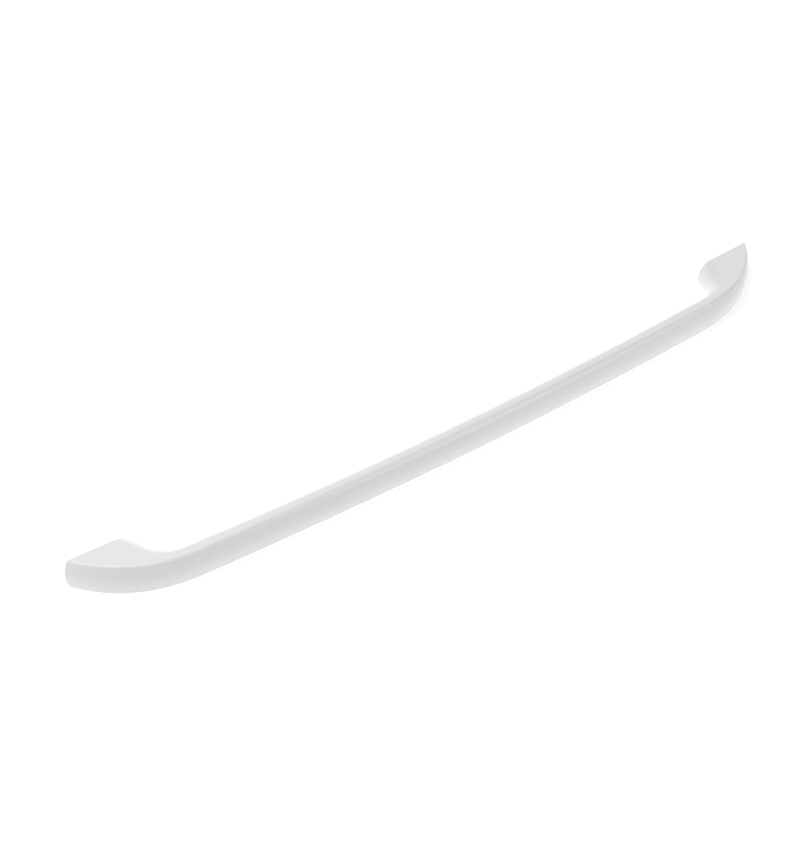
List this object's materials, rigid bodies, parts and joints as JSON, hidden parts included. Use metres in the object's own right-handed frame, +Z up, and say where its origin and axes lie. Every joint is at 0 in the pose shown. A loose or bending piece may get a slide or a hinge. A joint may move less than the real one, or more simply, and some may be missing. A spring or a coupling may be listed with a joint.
{
  "type": "oven door handle",
  "caption": "Bowed white plastic oven door handle with swept ends, flat feet and a threaded metal insert in each foot.",
  "frame": {"origin": "midway between the two screws, at mid-height, level with the mouths of the inserts that they screw into", "axes": "+X along the handle, +Y towards the door and along the screws, +Z up"},
  "size_m": [0.744, 0.0636, 0.0296],
  "materials": {
    "white_plastic": "smooth moulded, semi-gloss white",
    "brass": "turned"
  },
  "bodies": {
    "root": {"handle_body": "white_plastic", "insert_left": "brass", "insert_right": "brass"}
  },
  "joints": []
}
